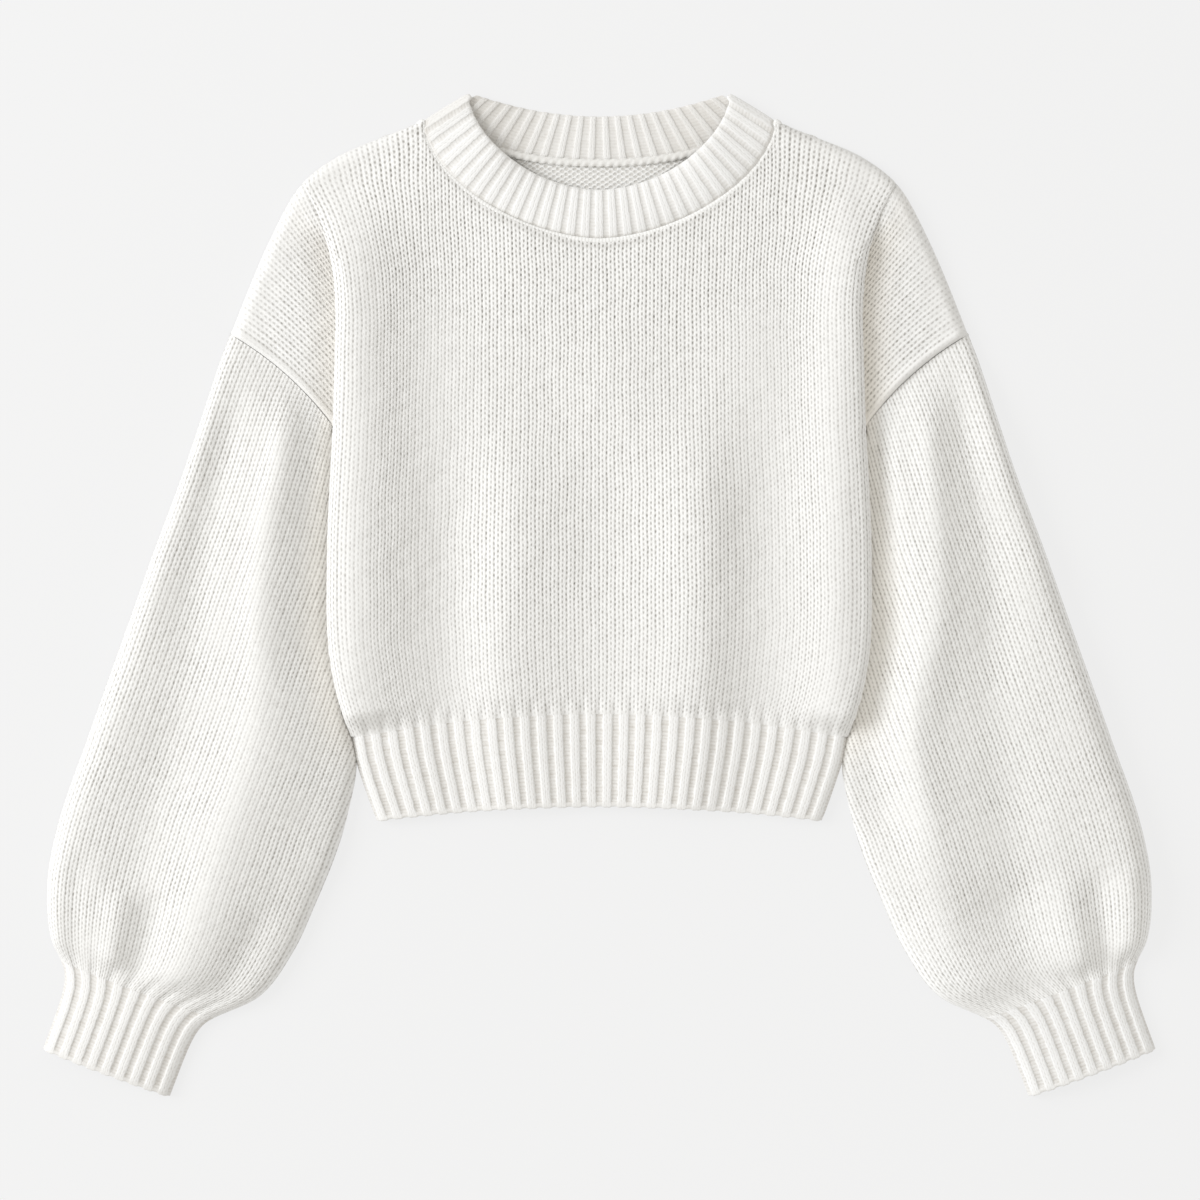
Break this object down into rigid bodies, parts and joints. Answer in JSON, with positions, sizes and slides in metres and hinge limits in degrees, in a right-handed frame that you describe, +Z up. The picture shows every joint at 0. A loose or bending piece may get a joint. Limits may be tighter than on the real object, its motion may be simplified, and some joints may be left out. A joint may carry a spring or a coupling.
{
  "type": "cropped knit sweater",
  "caption": "Cropped knit sweater laid flat, with dropped shoulders, balloon sleeves and a ribbed crew neck, hem and cuffs.",
  "frame": {"origin": "centre of the laid garment's bounding box, on the surface that it rests on", "axes": "+X to the wearer's left, +Y towards the neck, +Z up from the surface, out of the garment's front"},
  "size_m": [0.7792, 0.7024, 0.031],
  "materials": {
    "knit": "off-white chunky stockinette knit",
    "rib": "off-white ribbed knit"
  },
  "bodies": {
    "root": {"front": "knit", "back": "knit", "sleeve_right": "knit", "sleeve_left": "knit", "neckband": "rib", "hem_rib": "rib", "cuff_right": "rib", "cuff_left": "rib"}
  },
  "joints": []
}
